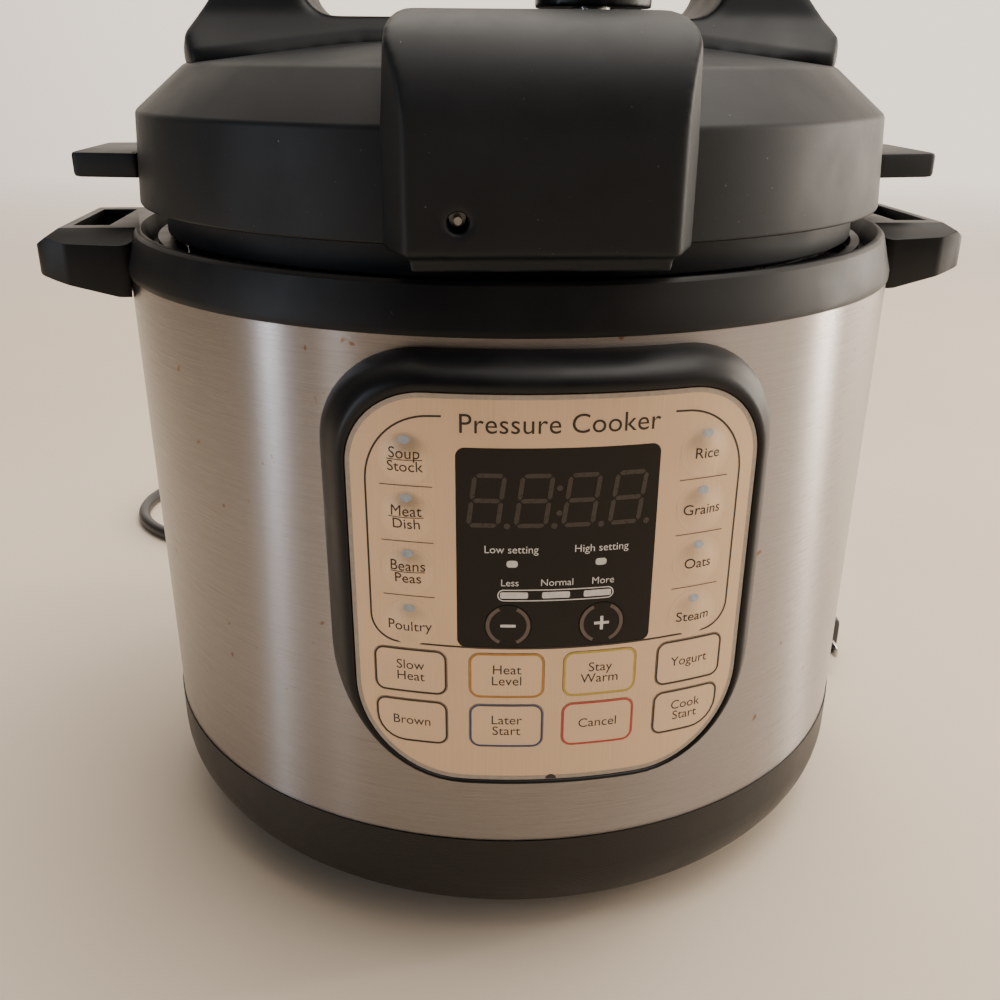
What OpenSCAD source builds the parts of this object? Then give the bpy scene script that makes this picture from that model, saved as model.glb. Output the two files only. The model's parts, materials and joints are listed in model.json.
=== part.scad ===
// Electric pressure cooker with a bayonet pressure lid, closed.
// Origin on the floor under the middle of the whole cooker, front toward -Y, up is +Z.
// The modules draw about the pot's axis, and on_axis() sets them pot_y from the origin.

/* [Body] */
// Outside radius of the steel body
body_r = 132.5; // [131:0.5:134]
// Height of the steel body above its base
steel_h = 160; // [158:1:166]
// Height of the plastic base above its feet
base_h = 37; // [36:1:40]
// Radius of the base's rounded lower edge
base_corner = 24; // [22:1:26]
// Height of the rubber feet
foot_h = 4; // [3:0.5:6]
// Height of the rim ring
rim_h = 13.6; // [13:0.2:15]
// Overall width over the side handles
handle_span = 318; // [314:1:324]

/* [Lid] */
// Outside radius of the lid at its lower edge
lid_r = 127; // [125.5:0.1:127.5]
// Height of the lid's side wall
lid_wall_h = 28; // [26:1:30]
// Height of the lid handle's top above the floor
handle_top = 317; // [314:1:320]
// Width of the front valve housing
housing_w = 68; // [66:1:70]
// Radius of the steam release knob
knob_r = 16; // [15:0.5:18]

/* [Control panel] */
// Width of the panel face
face_w = 111; // [109:1:113]
// Height of the panel face
face_h = 116.7; // [115:0.1:118]
// Radius of the round keys
round_key_r = 6; // [5:0.1:6.5]
// Width of the lower keys
wide_key_w = 21; // [19:0.5:21.5]
// Height of the lower keys
wide_key_h = 14.3; // [13:0.1:15]

/* [Inner pot] */
// Outside radius of the pot's wall
pot_r = 109; // [106:0.5:109.5]
// Height of the pot
pot_h = 156; // [150:1:156]

/* [Power lead] */
// Thickness of the power lead
lead_d = 7; // [6:0.5:8]

/* [Hidden] */
$fn = 96;

// Heights of the stack
base_z = foot_h;
steel_z = base_z + base_h;
rim_z = steel_z + steel_h;
rim_top = rim_z + rim_h;
lid_z = rim_top + 8;
shoulder_z = lid_z + lid_wall_h;
cone_z = shoulder_z + 14;
crown_z = cone_z + 7.4;
housing_top = crown_z + 5.5;

// Walls and clearances
wall = 2.5;
sheet = 0.8;
thin_sheet = 0.6;
fit_gap = 0.2;
slide_gap = 0.3;
eps = 0.5;

// Base and floor of the housing
base_r = body_r + 0.5;
floor_r = base_r - base_corner;
cover_r = 84;
cover_flange_r = 92;
floor_top = base_z + wall;
cover_top = floor_top + 2;
feet_turn = 24;
foot_ring_r = 101;
foot_r = 7;
screw_ring_r = 88;
screw_head_r = 3;
screw_shank_r = 1.5;

// Pots
outer_pot_r = 118.5;
outer_pot_z = 24;
outer_step_r = 98;
outer_step_z = 38;
flange_r = body_r - 1;
pot_z = 42;
pot_lip_r = 114;
pot_wall = 1;
plate_r = 88;
plate_z = 32;
element_ring_r = 60;
element_r = 4;
sensor_hole_r = 20;
sensor_cap_r = 17;
sensor_stem_r = 6;
sensor_hub_z = outer_pot_z + sheet;

// Bayonet
ring_lug_r = 116;
lid_lug_r = 115.6;
lid_skirt_r = 112.8;
lid_rest_turn = -1.8;
lug_count = 6;
lug_angle = 24;
skirt_r = 118.8;
skirt_z = 213.2;
plate_low = 210;
plate_top = 211;

// Panel
panel_r = 144;
bezel_proud = 0.6;
bezel_step_r = 138.5;
face_back_r = panel_r - 2.8;
membrane_r = face_back_r - 0.1;
key_back_r = panel_r - 2.1;
face_z = 72.9;
face_top = face_z + face_h;
face_top_corner = 21;
face_low_corner = 30;
window_w = 53.4;
window_z = 117.3;
window_h = 58.1;
round_key_turn = 16;
round_key_z = [172, 155.9, 139.9, 123.4];
wide_key_turn = [5.25, 16.1];
wide_key_z = [108.3, 91.7];
wide_key_corner = 3;
outer_key_corner = 8.5;
adjust_key_turn = 5.15;
adjust_key_z = 124.2;
adjust_key_r = 6.3;

// Lid furniture
housing_front = 135;
housing_back = 52;
housing_low = rim_top + 3;
housing_strip_h = 3.7;
housing_flare = 5.6;
pipe_pos = [18, -75];
float_pos = [-18, -78];
lock_pos = [-20.8, 229.7];
lock_hole_r = 2.7;
lock_pin_r = 1;
handle_half_depth = 42;
boss_ring_r = 96;

// Condensate cup and inlet
cup_w = 60;
cup_z = 150;
cup_h = 46;
cup_back = 164.6;
pot_y = (panel_r + bezel_proud - cup_back) / 2;
inlet_z = 22;
inlet_w = 30;
inlet_h = 22;
inlet_front = 104;
inlet_back = 132;
inlet_pins = [[-7, -2], [7, -2], [0, 3]];
lead_start = inlet_back + 42;

// Route of the lead over the floor, from the connector to the plug
lead_r = lead_d / 2;
lead_route = [
    [0, 174, 22], [0, 190, 21], [-8, 206, 14], [-30, 217, 5.5], [-58, 214, 3.6], [-100, 200, 3.6],
    [-145, 190, 3.6], [-180, 200, 3.6], [-203, 228, 3.6], [-205, 262, 3.6], [-186, 292, 3.6],
    [-150, 306, 3.6], [-100, 304, 3.6], [-45, 292, 3.6], [15, 282, 3.6], [75, 266, 3.6],
    [122, 238, 3.6], [151, 196, 3.6], [159, 150, 3.6], [156, 112, 4.6], [154, 84, 9]
];
plug_pos = [154, 84, 9];

// ---- helpers ----

module on_axis() {
    translate([0, pot_y, 0]) children();
}

// Lid parts stand a little clockwise of the body, where the closed lid comes to rest
module on_lid() {
    on_axis() rotate([0, 0, lid_rest_turn]) children();
}

module tube(r_in, r_out, z0, z1) {
    translate([0, 0, z0]) difference() {
        cylinder(r = r_out, h = z1 - z0);
        translate([0, 0, -eps]) cylinder(r = r_in, h = z1 - z0 + 2 * eps);
    }
}

module disc(r, z0, z1) {
    translate([0, 0, z0]) cylinder(r = r, h = z1 - z0);
}

// Stands a flat XZ outline on the front and pushes it forward between two distances
module front_prism(y0, y1) {
    translate([0, -y0, 0]) rotate([90, 0, 0]) linear_extrude(height = y1 - y0) children();
}

// Keeps the part of a front outline that lies between two radii
module curved_slab(r0, r1) {
    intersection() {
        tube(r0, r1, 0, rim_z + 10);
        front_prism(90, 160) children();
    }
}

module rounded_rect(w, h, r) {
    square([w - 2 * r, h], center = true);
    square([w, h - 2 * r], center = true);
    for (x = [-1, 1], y = [-1, 1])
        translate([x * (w / 2 - r), y * (h / 2 - r)]) circle(r = r, $fn = 48);
}

// Panel outline grown by a margin at the sides, the top and the bottom
module panel_outline(side = 0, top = 0, low = 0) {
    half = face_w / 2 + side;
    z0 = face_z - low;
    z1 = face_top + top;
    r_top = face_top_corner + side;
    r_low = face_low_corner + side;
    translate([-half + r_low, z0]) square([2 * (half - r_low), z1 - z0]);
    translate([-half + r_top, z0 + r_low]) square([2 * (half - r_top), z1 - z0 - r_low]);
    translate([-half, z0 + r_low]) square([2 * half, z1 - z0 - r_low - r_top]);
    for (x = [-1, 1]) {
        translate([x * (half - r_low), z0 + r_low]) circle(r = r_low);
        translate([x * (half - r_top), z1 - r_top]) circle(r = r_top);
    }
}

module around(turn) {
    rotate([0, 0, turn]) children();
}

module at_front(turn, z) {
    around(turn) translate([0, 0, z]) rotate([90, 0, 0]) children();
}

// Points on a smooth curve through the route's points
function curve_point(p, i, t) =
    let (a = p[max(i - 1, 0)], b = p[i], c = p[i + 1], d = p[min(i + 2, len(p) - 1)])
    0.5 * (2 * b + (c - a) * t + (2 * a - 5 * b + 4 * c - d) * t * t + (3 * b - a - 3 * c + d) * t * t * t);
function curve(p, steps) = concat(
    [for (i = [0:len(p) - 2], s = [0:steps - 1]) curve_point(p, i, s / steps)],
    [p[len(p) - 1]]
);
function unit(v) = v / norm(v);
function path_dir(p, i) = unit(p[min(i + 1, len(p) - 1)] - p[max(i - 1, 0)]);

// Round section swept along a path, with closed ends; up is any direction off the path
module sweep(path, r, up = [0, 0, 1], sides = 8) {
    rings = [for (i = [0:len(path) - 1])
        let (d = path_dir(path, i), s = unit(cross(d, up)), u = cross(s, d))
        [for (k = [0:sides - 1]) path[i] + r * (cos(360 * k / sides) * s + sin(360 * k / sides) * u)]];
    last = len(path) - 1;
    polyhedron(
        points = [for (q = rings, v = q) v],
        faces = concat(
            [[for (k = [sides - 1:-1:0]) k]],
            [[for (k = [0:sides - 1]) last * sides + k]],
            [for (i = [0:last - 1], k = [0:sides - 1]) let (a = i * sides, b = a + sides, j = (k + 1) % sides)
                [a + k, a + j, b + j, b + k]]
        )
    );
}

function helix(r, h, turns, per_turn) = [for (i = [0:turns * per_turn])
    [r * cos(360 * i / per_turn), r * sin(360 * i / per_turn), h * i / (turns * per_turn)]];

// ---- base ----

module base_section(inset) {
    translate([0, base_z + inset]) square([floor_r, base_corner - inset + eps]);
    translate([0, base_z + base_corner]) square([base_r - inset, base_h - base_corner + inset]);
    translate([floor_r, base_z + base_corner]) circle(r = base_corner - inset);
}

module base_housing() {
    color("#1d1c1c") on_axis() difference() {
        rotate_extrude() intersection() {
            difference() {
                base_section(0);
                base_section(wall);
            }
            square([base_r + 1, steel_z]);
        }
        disc(cover_r, 0, floor_top + eps);
        for (a = [0:90:270]) around(a + 45) translate([screw_ring_r, 0, 0]) {
            disc(screw_head_r + fit_gap, 0, base_z + 1.8);
            disc(screw_shank_r + fit_gap, 0, floor_top + eps);
        }
        translate([-inlet_w / 2 - fit_gap, 100, inlet_z - inlet_h / 2 - fit_gap])
            cube([inlet_w + 2 * fit_gap, 50, inlet_h + 2 * fit_gap]);
    }
}

module bottom_cover() {
    color("#242424") on_axis() difference() {
        union() {
            disc(cover_r - fit_gap, base_z, floor_top);
            disc(cover_flange_r, floor_top, cover_top);
            for (a = [0:90:270]) around(a + 45) translate([screw_ring_r, 0, 0])
                disc(3.8, cover_top, cover_top + 6);
        }
        for (a = [0:90:270]) around(a + 45) translate([screw_ring_r, 0, 0])
            disc(screw_shank_r + fit_gap, 0, cover_top + 5);
        for (x = [-50:10:50]) translate([x - 2, -30, 0]) cube([4, 60, 20]);
    }
}

module base_feet() {
    color("#2b2b2b") on_axis() for (a = [0:90:270]) around(a + feet_turn) translate([0, -foot_ring_r, 0])
        disc(foot_r, 0, foot_h);
}

module base_screws() {
    color("silver") on_axis() for (a = [0:90:270]) around(a + 45) translate([screw_ring_r, 0, 0])
        difference() {
            union() {
                disc(screw_head_r, base_z + 0.3, base_z + 1.8);
                disc(screw_shank_r, base_z + 1.8, cover_top + 4.5);
            }
            translate([-2, -0.4, 0]) cube([4, 0.8, base_z + 1]);
            translate([-0.4, -2, 0]) cube([0.8, 4, base_z + 1]);
        }
}

module steel_shell() {
    color("#c9c6c0") on_axis() difference() {
        tube(body_r - thin_sheet, body_r, steel_z, rim_z);
        front_prism(90, 150) translate([0, 136]) rounded_rect(80, 92, 6);
    }
}

// ---- rim ----

module rim_section() {
    r_top = body_r - 2.5;
    polygon([
        [122.6, rim_z], [body_r + 0.5, rim_z], [body_r + 0.5, rim_z + 2], [r_top, rim_top - 1],
        [r_top - 1, rim_top], [r_top - 2.5, rim_top], [r_top - 4, rim_z + 6], [122.6, rim_z + 6]
    ]);
}

module side_handle_plan() {
    tip = handle_span / 2;
    polygon([[125, 36], [148, 34.5], [tip, 29], [tip, -29], [148, -34.5], [125, -36]]);
}

// Front view of a side handle: its underside rises to the tip
module side_handle_front() {
    tip = handle_span / 2;
    polygon([
        [120, rim_z - 8], [body_r, rim_z - 7.5], [tip - 6, rim_z - 2.5], [tip - 1, rim_z - 1],
        [tip + 1, rim_z + 1], [tip + 1, rim_top - 6], [tip - 8, rim_top], [120, rim_top]
    ]);
}

// End view of a side handle, with its bevelled top edges
module side_handle_end() {
    polygon([
        [-40, rim_z - 10], [40, rim_z - 10], [40, rim_top - 7], [37, rim_top - 5.4], [27, rim_top],
        [-27, rim_top], [-37, rim_top - 5.4], [-40, rim_top - 7]
    ]);
}

module rim_ring() {
    color("#202020") on_axis() difference() {
        union() {
            rotate_extrude() rim_section();
            for (m = [0, 1]) mirror([m, 0, 0]) difference() {
                intersection() {
                    translate([0, 0, rim_z - 10]) linear_extrude(height = 30) offset(r = 6) offset(delta = -6)
                        side_handle_plan();
                    translate([0, 60, 0]) rotate([90, 0, 0]) linear_extrude(height = 120) side_handle_front();
                    rotate([90, 0, 90]) linear_extrude(height = 200) side_handle_end();
                }
                disc(body_r + 0.3, 0, rim_z);
                disc(body_r - 4, rim_z, rim_top + eps);
                translate([142, 0, rim_z]) cube([12, 42, 40], center = true);
            }
        }
        around(180) translate([0, -124.6, rim_z - eps]) cylinder(r = 1.6, h = 10);
    }
}

// ---- pots and heater ----

module outer_pot() {
    color("#9a9a98") on_axis() difference() {
        union() {
            tube(outer_pot_r, outer_pot_r + sheet, outer_step_z, rim_z);
            tube(outer_step_r, outer_pot_r + sheet, outer_step_z, outer_step_z + sheet);
            tube(outer_step_r, outer_step_r + sheet, outer_pot_z, outer_step_z + sheet);
            disc(outer_step_r + sheet, outer_pot_z, outer_pot_z + sheet);
            tube(outer_pot_r, flange_r, rim_z - sheet, rim_z);
            pot_brackets();
        }
        disc(28, 0, outer_pot_z + 2);
        for (x = [-1, 1]) translate([x * element_ring_r, 0, 0]) disc(7, 0, outer_pot_z + 2);
    }
}

// Sheet legs that stand the outer pot on the base
module pot_brackets() {
    for (a = [60, 180, 300]) around(a) translate([-7, -101, floor_top]) difference() {
        union() {
            cube([14, 8, 1.2]);
            cube([14, 1.2, outer_pot_z - floor_top]);
            translate([0, 0, outer_pot_z - floor_top - 1.2]) cube([14, 12, 1.2]);
        }
        translate([7, 4.5, -eps]) cylinder(r = 1.6, h = 3);
    }
}

module bayonet_ring() {
    color("#b3b1ac") on_axis() union() {
        tube(outer_pot_r, 122.3, rim_z, rim_z + 7);
        tube(119.5, 122.3, rim_z + 6.5, rim_z + 10.5);
        for (k = [0:lug_count - 1]) intersection() {
            tube(ring_lug_r, 120, rim_z + 7, rim_z + 10.5);
            around(k * 360 / lug_count) rotate_extrude(angle = lug_angle)
                translate([100, 0]) square([30, rim_top + 20]);
        }
    }
}

module inner_pot() {
    z1 = pot_z + pot_h;
    corner = 12;
    color("#d3d1cc") on_axis() rotate_extrude() difference() {
        union() {
            translate([0, pot_z]) square([pot_r - corner, corner]);
            translate([0, pot_z + corner]) square([pot_r, pot_h - corner]);
            translate([pot_r - corner, pot_z + corner]) circle(r = corner);
            translate([0, z1 - 1.5]) square([pot_lip_r, 1.5]);
        }
        translate([0, pot_z + pot_wall]) square([pot_r - corner, corner]);
        translate([0, pot_z + corner]) square([pot_r - pot_wall, pot_h]);
        translate([pot_r - corner, pot_z + corner]) circle(r = corner - pot_wall);
    }
}

module heating_plate() {
    color("#a8a9aa") on_axis() difference() {
        union() {
            disc(plate_r, plate_z, pot_z);
            for (a = [30, 150, 270]) around(a) translate([0, -76, 0])
                disc(4, outer_pot_z + sheet, plate_z + 1);
        }
        disc(sensor_hole_r, 0, pot_z + 1);
        translate([0, 0, plate_z]) rotate_extrude()
            translate([element_ring_r, 0]) circle(r = element_r + 0.1);
    }
}

module heating_element() {
    color("#55524f") on_axis() union() {
        translate([0, 0, plate_z]) rotate_extrude() translate([element_ring_r, 0]) circle(r = element_r);
        for (x = [-1, 1]) translate([x * element_ring_r, 0, 0])
            disc(2.5, outer_pot_z - 6, plate_z);
    }
}

module thermal_sensor() {
    color("#c0bfbb") on_axis() union() {
        disc(sensor_cap_r, pot_z - 5.3, pot_z - 0.3);
        disc(sensor_stem_r, outer_pot_z - 4, pot_z - 5);
    }
}

module sensor_spring() {
    color("#8f8f8f") on_axis() translate([0, 0, sensor_hub_z + 1.8])
        sweep(helix(9, 9.4, 5, 14), 0.5, [0, 0, 1], 6);
}

module sensor_bracket() {
    color("#77797b") on_axis() difference() {
        union() {
            disc(36, sensor_hub_z, sensor_hub_z + 1.2);
            disc(8, sensor_hub_z - 3, sensor_hub_z + 0.5);
        }
        disc(sensor_stem_r + 0.1, 0, 60);
    }
}

module pressure_switch() {
    color("#3a3a3a") on_axis() union() {
        translate([30, -8, cover_top]) cube([10, 16, 12]);
        translate([27, -3, cover_top + 9]) cube([3, 6, 1]);
    }
}

module power_board() {
    color("#1f6b3a") on_axis() union() {
        translate([-88, -30, 12]) cube([50, 60, 1.6]);
        for (x = [-82, -44], y = [-24, 24]) translate([x, y, 0]) disc(3, cover_top, 12.5);
        translate([-80, -16, 13]) cube([16, 14, 8.5]);
        translate([-80, 4, 13]) cube([20, 15, 8]);
        for (y = [-18, -4]) translate([-50, y, 0]) disc(4.5, 13, 22);
    }
}

module control_board() {
    color("#1f6b3a") on_axis() union() {
        front_prism(121.8, 123.4) translate([0, 136]) square([84, 98], center = true);
        front_prism(123, 126.5) translate([0, 105]) square([26, 18], center = true);
        front_prism(123, 126) translate([0, 138]) square([14, 10], center = true);
    }
}

// ---- control panel ----

module panel_bezel() {
    color("#161616") on_axis() difference() {
        union() {
            curved_slab(body_r + 0.1, bezel_step_r) panel_outline(7.2, 8.2, 1.8);
            curved_slab(bezel_step_r - 0.2, panel_r + bezel_proud) panel_outline(2.4, 3.2, 1.2);
        }
        curved_slab(face_back_r - 1.2, panel_r + 5) panel_outline();
        front_prism(100, 160) offset(delta = -4) panel_outline();
    }
}

// Key holes start just behind the face, so that they stay apart from each other
module key_holes(grow) {
    start = face_back_r - 8;
    for (s = [-1, 1]) {
        for (z = round_key_z) at_front(s * round_key_turn, z) translate([0, 0, start])
            cylinder(r = round_key_r + grow, h = 20);
        for (c = [0, 1], row = [0, 1]) at_front(s * wide_key_turn[c], wide_key_z[row])
            translate([0, 0, start]) linear_extrude(height = 20) wide_key_plan(c * row * s, grow);
    }
}

// Lower key outline; a corner of +1 or -1 rounds off the lower right or lower left
module wide_key_plan(corner, grow = 0) {
    w = wide_key_w + 2 * grow;
    h = wide_key_h + 2 * grow;
    r = outer_key_corner + grow;
    if (corner == 0) {
        rounded_rect(w, h, wide_key_corner + grow);
    } else {
        difference() {
            rounded_rect(w, h, wide_key_corner + grow);
            translate([corner * w / 2, -h / 2]) square(2 * r, center = true);
        }
        translate([corner * (w / 2 - r), -h / 2 + r]) intersection() {
            circle(r = r, $fn = 64);
            translate([corner * r / 2, -r / 2]) square(r + 0.02, center = true);
        }
    }
}

module panel_face() {
    color("#c8beb0") on_axis() difference() {
        curved_slab(face_back_r, panel_r) offset(delta = -0.15) panel_outline();
        window_prism(0.1);
        key_holes(0.15);
    }
}

module window_prism(grow) {
    front_prism(100, 160) translate([0, window_z + window_h / 2])
        rounded_rect(window_w + 2 * grow, window_h + 2 * grow, 2.5);
}

module key_membrane() {
    color("#c9b98a") on_axis() difference() {
        curved_slab(membrane_r - 1, membrane_r) offset(delta = -0.4) panel_outline();
        window_prism(0);
    }
}

module display_window() {
    color("#1a1412") on_axis() difference() {
        intersection() {
            tube(face_back_r, panel_r - 0.05, 0, rim_z);
            window_prism(0);
        }
        for (s = [-1, 1]) at_front(s * adjust_key_turn, adjust_key_z)
            cylinder(r = adjust_key_r + 0.15, h = 160);
    }
}

module display_module() {
    color("#2a1a16") on_axis() intersection() {
        front_prism(123.6, 150) translate([0, 161]) square([50, 20], center = true);
        disc(face_back_r - 0.3, 0, rim_z);
    }
}

module round_key(turn, z) {
    color("#c4bcb0") on_axis() at_front(turn, z) intersection() {
        translate([0, 0, key_back_r]) cylinder(r = round_key_r, h = 5, $fn = 64);
        translate([0, 0, panel_r - 27]) sphere(r = 28, $fn = 200);
    }
}

module wide_key(turn, z, corner) {
    color("#cfc8bd") on_axis() intersection() {
        at_front(turn, z) linear_extrude(height = 160) wide_key_plan(corner);
        tube(key_back_r, panel_r + 0.1, 0, rim_z);
    }
}

module adjust_key(turn) {
    color("#2c211d") on_axis() intersection() {
        at_front(turn, adjust_key_z) cylinder(r = adjust_key_r, h = 160, $fn = 64);
        tube(key_back_r, panel_r + 0.1, 0, rim_z);
    }
}

module key_soup() { round_key(-round_key_turn, round_key_z[0]); }
module key_stew() { round_key(-round_key_turn, round_key_z[1]); }
module key_beans() { round_key(-round_key_turn, round_key_z[2]); }
module key_poultry() { round_key(-round_key_turn, round_key_z[3]); }
module key_rice() { round_key(round_key_turn, round_key_z[0]); }
module key_grain() { round_key(round_key_turn, round_key_z[1]); }
module key_oats() { round_key(round_key_turn, round_key_z[2]); }
module key_steam() { round_key(round_key_turn, round_key_z[3]); }
module key_slow() { wide_key(-wide_key_turn[1], wide_key_z[0], 0); }
module key_level() { wide_key(-wide_key_turn[0], wide_key_z[0], 0); }
module key_warm() { wide_key(wide_key_turn[0], wide_key_z[0], 0); }
module key_yogurt() { wide_key(wide_key_turn[1], wide_key_z[0], 0); }
module key_brown() { wide_key(-wide_key_turn[1], wide_key_z[1], -1); }
module key_timer() { wide_key(-wide_key_turn[0], wide_key_z[1], 0); }
module key_cancel() { wide_key(wide_key_turn[0], wide_key_z[1], 0); }
module key_cook() { wide_key(wide_key_turn[1], wide_key_z[1], 1); }
module key_minus() { adjust_key(-adjust_key_turn); }
module key_plus() { adjust_key(adjust_key_turn); }

// ---- lid ----

module lid_outer() {
    r_shoulder = lid_r - 2.2;
    rotate_extrude() polygon([
        [0, plate_top], [112.5, plate_top], [112.5, skirt_z], [skirt_r, skirt_z],
        [skirt_r, lid_z + 3.4], [lid_r - wall, lid_z + 3.4], [lid_r - wall, lid_z], [lid_r - 1.2, lid_z],
        [lid_r - 0.4, lid_z + 2], [r_shoulder, shoulder_z], [108, cone_z],
        [60, crown_z - 1], [0, crown_z]
    ]);
}

module lid_cavity() {
    r_shoulder = lid_r - 3.2 - wall;
    rotate_extrude() polygon([
        [0, plate_top - 1], [110, plate_top - 1], [110, lid_z + 5.9], [r_shoulder + 0.4, lid_z + 5.9],
        [r_shoulder, shoulder_z - 1], [107, cone_z - 2.6], [60, crown_z - 3.6], [0, crown_z - 2.6]
    ]);
}

module lid_cover() {
    color("#2a2c2f") on_lid() difference() {
        union() {
            difference() {
                lid_outer();
                lid_cavity();
            }
            for (a = [45:90:315]) around(a) translate([0, -boss_ring_r, 0])
                disc(5, plate_top, cone_z + 0.4);
            for (m = [0, 1]) mirror([m, 0, 0]) difference() {
                translate([0, 0, lid_z + 7]) linear_extrude(height = 8) offset(r = 2) offset(delta = -2)
                    polygon([[118, 27], [130, 25], [146, 22], [146, -22], [130, -25], [118, -27]]);
                disc(lid_r - 3, lid_z, shoulder_z);
            }
        }
        for (a = [45:90:315]) around(a) translate([0, -boss_ring_r, 0])
            disc(1.7, plate_top - 1, plate_top + 14);
        housing_solid(0);
    }
}

module housing_plan(inset) {
    side = housing_w / 2;
    flare = housing_front - 13.5;
    offset(r = 2.5) offset(delta = -2.5 - inset) polygon([
        [-side, -housing_front], [side, -housing_front], [side + housing_flare, -flare],
        [side + 6.5, -housing_back + inset], [-side - 6.5, -housing_back + inset],
        [-side - housing_flare, -flare]
    ]);
}

module housing_side(inset) {
    y1 = housing_front - inset;
    z0 = housing_low + inset;
    z1 = housing_top - inset;
    r = 28;
    polygon([
        [housing_back, housing_low + 10], [113 + inset, housing_low + 10], [113 + inset, z0],
        [y1 - 2.4, z0], [y1 - 2.4, z0 + housing_strip_h], [y1, z0 + housing_strip_h], [y1, z1 - r],
        [y1 - r, z1 - r], [y1 - r, z1], [housing_back, z1]
    ]);
    translate([y1 - r, z1 - r]) circle(r = r);
}

// Front view of the housing: a narrower strip below, rounded upper corners
module housing_face(inset) {
    low = housing_w / 2 + 7.5 - inset;
    high = housing_w / 2 + 4 - inset;
    strip = housing_w / 2 - 1.2 - inset;
    z0 = housing_low + inset;
    z1 = housing_top - inset;
    r = 7;
    polygon([
        [-strip, z0], [strip, z0], [strip, z0 + housing_strip_h], [low, z0 + housing_strip_h],
        [high, z1 - r], [high - r, z1 - r], [high - r, z1],
        [-high + r, z1], [-high + r, z1 - r], [-high, z1 - r],
        [-low, z0 + housing_strip_h], [-strip, z0 + housing_strip_h]
    ]);
    for (x = [-1, 1]) translate([x * (high - r), z1 - r]) circle(r = r);
}

module housing_solid(inset) {
    tall = housing_top - housing_low + 2;
    intersection() {
        translate([0, 0, housing_low - 1]) linear_extrude(height = tall) housing_plan(inset);
        translate([60, 0, 0]) rotate([90, 0, -90]) linear_extrude(height = 120) housing_side(inset);
        front_prism(40, 150) housing_face(inset);
    }
}

module at_lock(back) {
    translate([lock_pos[0], -housing_front + back, lock_pos[1]]) rotate([90, 0, 0]) children();
}

module valve_housing() {
    color("#26282b") on_lid() difference() {
        housing_solid(0);
        difference() {
            housing_solid(wall);
            at_lock(20) cylinder(r = 5, h = 20);
        }
        translate([0, 0, housing_low + 10.01 - 40]) cylinder(r = 113, h = 40);
        translate([pipe_pos[0], pipe_pos[1], 0]) disc(9, 200, housing_top + 1);
        translate([float_pos[0], float_pos[1], 0]) disc(6, 200, housing_top + 1);
        at_lock(17) cylinder(r = lock_hole_r, h = 30);
        at_lock(30) cylinder(r = lock_pin_r + fit_gap, h = 30);
        housing_underside();
    }
}

// Opens the housing downward into the lid
module housing_underside() {
    translate([-housing_w / 2 + 2, -112, housing_low]) cube([housing_w - 4, 112 - housing_back - wall, 30]);
}

module handle_front() {
    difference() {
        polygon([
            [-109, cone_z - 4], [109, cone_z - 4], [107, cone_z + 2], [101, 275], [94.5, 284], [85, 297],
            [72, 308], [56, 315], [42, handle_top], [-42, handle_top], [-56, 315], [-72, 308],
            [-85, 297], [-94.5, 284], [-101, 275], [-107, cone_z + 2]
        ]);
        translate([0, 289.5]) rounded_rect(134, 22.5, 10.5);
    }
}

module handle_side() {
    polygon([
        [-handle_half_depth, cone_z - 4], [-handle_half_depth, cone_z + 3], [-35, crown_z + 2],
        [-30, 279], [-26.5, 288], [-24, 298], [-21, 309], [-15, handle_top],
        [15, handle_top], [21, 309], [24, 298], [26.5, 288], [30, 279],
        [35, crown_z + 2], [handle_half_depth, cone_z + 3], [handle_half_depth, cone_z - 4]
    ]);
}

module lid_handle() {
    color("#232528") on_lid() difference() {
        intersection() {
            translate([0, 60, 0]) rotate([90, 0, 0]) linear_extrude(height = 120) handle_front();
            translate([120, 0, 0]) rotate([90, 0, -90]) linear_extrude(height = 240) handle_side();
            disc(108, 200, handle_top);
        }
        lid_outer();
    }
}

module lid_plate() {
    color("#bdbbb6") on_lid() difference() {
        union() {
            disc(lid_skirt_r, plate_low, plate_top);
            tube(lid_skirt_r - sheet, lid_skirt_r, 203, plate_low + eps);
            for (k = [0:lug_count - 1]) intersection() {
                tube(lid_skirt_r - 0.4, lid_lug_r, 203, 205);
                around(k * 360 / lug_count) rotate_extrude(angle = lug_angle)
                    translate([100, 0]) square([30, 300]);
            }
        }
        translate([pipe_pos[0], pipe_pos[1], 0]) disc(5.1, 200, 220);
        translate([float_pos[0], float_pos[1], 0]) disc(3.8, 200, 220);
        for (a = [45:90:315]) around(a) translate([0, -boss_ring_r, 0]) disc(1.7, 200, 220);
    }
}

module lid_screws() {
    color("silver") on_lid() for (a = [45:90:315]) around(a) translate([0, -boss_ring_r, 0])
        difference() {
            union() {
                disc(3.2, plate_low - 2, plate_low);
                disc(1.5, plate_low - 0.5, plate_top + 13);
            }
            translate([0, 0, plate_low - 3]) cylinder(r = 1.4, h = 2, $fn = 6);
        }
}

module sealing_ring() {
    color("#d9dbdc") on_lid() rotate_extrude() polygon([
        [103.6, 198.9], [111.6, 198.9], [111.6, 209.6], [107.5, 209.6], [104.2, 207],
        [107.5, 204.5], [104.6, 201.6]
    ]);
}

module ring_rack() {
    color("#a5a5a3") on_lid() union() {
        translate([0, 0, 204.5]) rotate_extrude() translate([101.4, 0]) circle(r = 1.2, $fn = 32);
        for (a = [0:60:300]) around(a) translate([0, -101.4, 0]) disc(1, 204.5, plate_low);
    }
}

module steam_pipe() {
    color("#b8b6b1") on_lid() translate([pipe_pos[0], pipe_pos[1], 0]) difference() {
        union() {
            disc(5, 205, 294);
            translate([0, 0, plate_top]) cylinder(r = 8.5, h = 5, $fn = 6);
            disc(7, plate_low - 2, plate_low);
        }
        disc(1.75, 200, 300);
    }
}

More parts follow.
